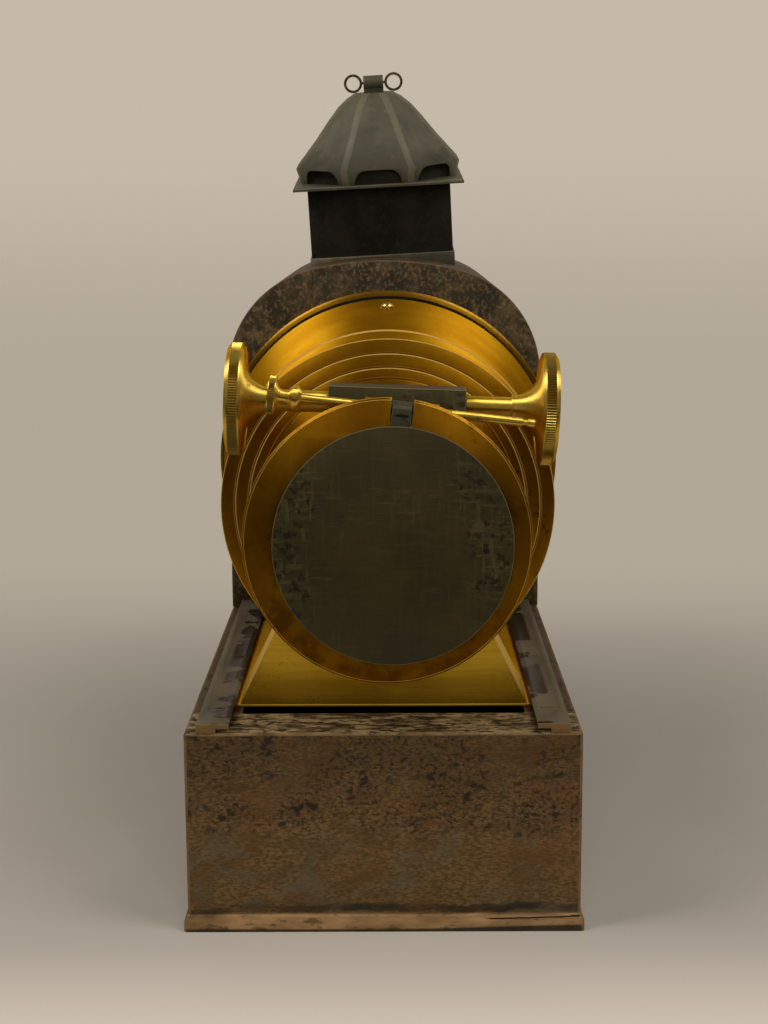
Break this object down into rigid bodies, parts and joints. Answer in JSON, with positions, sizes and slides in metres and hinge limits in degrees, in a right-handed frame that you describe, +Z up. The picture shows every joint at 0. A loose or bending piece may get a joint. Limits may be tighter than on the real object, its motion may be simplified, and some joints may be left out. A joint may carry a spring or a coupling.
{
  "type": "magic lantern",
  "caption": "Table-top magic lantern: sheet-iron lamphouse on a box base, tapered brass drum, rack-focused lens with flashing shutter, lamp, and ribbed chimney cowl.",
  "frame": {"origin": "on the table under the middle of the base's width, 200 mm behind the base's front", "axes": "+Z up, +Y from the lens back to the lamp, +X to the right as seen from the lens"},
  "size_m": [0.1676, 0.4111, 0.3389],
  "materials": {
    "japanned_iron": "worn brown japan over sheet iron, satin",
    "blued_iron": "dark rust-mottled sheet iron, satin",
    "black_iron": "sooty black sheet, matte",
    "dull_tin": "dull olive-grey tinned sheet, satin",
    "lacquered_brass": "amber lacquered brass, polished",
    "brushed_brass": "horizontally brushed brass, satin",
    "plain_brass": "plain turned brass, satin",
    "runner_metal": "dull grey-brown strip with dark patches, satin",
    "black_enamel": "worn black enamel, satin",
    "steel": "plain steel, satin",
    "dark_steel": "darkened steel, satin",
    "lens_glass": "clear polished glass",
    "ruby_glass": "ruby glass",
    "silvered": "silvered reflector, polished",
    "wick_cotton": "woven cotton, charred top"
  },
  "bodies": {
    "lantern": {"base_shell": "japanned_iron", "base_floor": "japanned_iron", "runner_left": "runner_metal", "runner_right": "runner_metal", "runner_screws": "runner_metal", "house_front": "blued_iron", "house_shell": "blued_iron", "house_back": "blued_iron", "door_hinge_leaf": "blued_iron", "door_hinge_pin": "steel", "stage_ring": "lacquered_brass", "stage_posts": "plain_brass", "stage_shelf": "plain_brass", "condenser_cell": "plain_brass", "condenser_lens_front": "lens_glass", "condenser_lens_rear": "lens_glass", "drum": "lacquered_brass", "drum_screws": "lacquered_brass", "flue_stub": "black_iron", "chimney_seat": "dull_tin"},
    "draw_outer": {"draw_outer": "lacquered_brass"},
    "draw_inner": {"draw_inner": "lacquered_brass"},
    "carriage": {"jacket": "lacquered_brass", "saddle": "brushed_brass", "carriage_foot": "brushed_brass", "pinion_box": "black_enamel"},
    "pinion": {"pinion_shaft": "steel", "knob_left": "lacquered_brass", "knob_right": "lacquered_brass"},
    "focus": {"focus_tube": "lacquered_brass", "focus_rack": "plain_brass", "hood_flange": "lacquered_brass", "front_lens_cell": "plain_brass", "front_lens": "lens_glass", "rear_lens_cell": "plain_brass", "rear_lens": "lens_glass"},
    "shutter": {"shutter_rod": "plain_brass", "shutter_handle": "lacquered_brass", "shutter_clip": "dark_steel", "shutter_disc": "black_enamel"},
    "chimney": {"chimney_tube": "black_iron", "cowl_plate": "dull_tin", "cowl": "dull_tin", "cap_strap": "black_enamel", "cap_wire": "steel"},
    "door": {"door_leaf": "blued_iron", "door_knob": "plain_brass", "door_peep_ring": "plain_brass", "door_peep_glass": "ruby_glass"},
    "lamp": {"lamp_tank": "plain_brass", "wick_tubes": "plain_brass", "wicks": "wick_cotton", "burner_gallery": "plain_brass", "lamp_shield": "blued_iron", "flue": "black_iron", "flue_panes": "lens_glass", "reflector": "silvered"},
    "filler_cap": {"filler_cap": "plain_brass"},
    "winder_right": {"wick_winder_right": "plain_brass"},
    "winder_left": {"wick_winder_left": "plain_brass"}
  },
  "joints": [
    {"name": "carriage_slide", "type": "slide", "parent": "lantern", "child": "carriage", "axis": [0, -1, 0], "range_m": [0, 0.03]},
    {"name": "draw_outer_slide", "type": "slide", "parent": "lantern", "child": "draw_outer", "axis": [0, -1, 0], "range_m": [0, 0.0101]},
    {"name": "draw_inner_slide", "type": "slide", "parent": "lantern", "child": "draw_inner", "axis": [0, -1, 0], "range_m": [0, 0.0201]},
    {"name": "focus_slide", "type": "slide", "parent": "carriage", "child": "focus", "axis": [0, -1, 0], "range_m": [-0.008, 0.016]},
    {"name": "pinion_turn", "type": "hinge", "parent": "carriage", "child": "pinion", "pos_m": [0.00368, -0.165, 0.19817], "axis": [-0.9993, 0, 0.0384], "range_deg": [-102, 204]},
    {"name": "shutter_swing", "type": "hinge", "parent": "focus", "child": "shutter", "pos_m": [0.00739, -0.1975, 0.19999], "axis": [-0.9936, 0, 0.1132], "range_deg": [0, 100]},
    {"name": "chimney_slide", "type": "slide", "parent": "lantern", "child": "chimney", "axis": [-0.0503, -0.1132, 0.9923], "range_m": [0, 0.018]},
    {"name": "door_swing", "type": "hinge", "parent": "lantern", "child": "door", "pos_m": [0.0776, 0.1566, 0.14], "axis": [0, 0, 1], "range_deg": [0, 110]},
    {"name": "lamp_slide", "type": "slide", "parent": "lantern", "child": "lamp", "axis": [0, 1, 0], "range_m": [0, 0.15]},
    {"name": "winder_right_turn", "type": "hinge", "parent": "lamp", "child": "winder_right", "pos_m": [0.0235, 0.15, 0.118], "axis": [0, 1, 0], "continuous": true},
    {"name": "winder_left_turn", "type": "hinge", "parent": "lamp", "child": "winder_left", "pos_m": [-0.0235, 0.15, 0.118], "axis": [0, 1, 0], "continuous": true},
    {"name": "filler_cap_turn", "type": "hinge", "parent": "lamp", "child": "filler_cap", "pos_m": [0.038, 0.156, 0.11], "axis": [0, 0, 1], "continuous": true}
  ],
  "couplings": [
    {"joint": "draw_outer_slide", "follows": "carriage_slide", "ratio": 0.33333},
    {"joint": "draw_inner_slide", "follows": "carriage_slide", "ratio": 0.66667},
    {"joint": "pinion_turn", "follows": "focus_slide", "rad_per_m": 222.22}
  ]
}
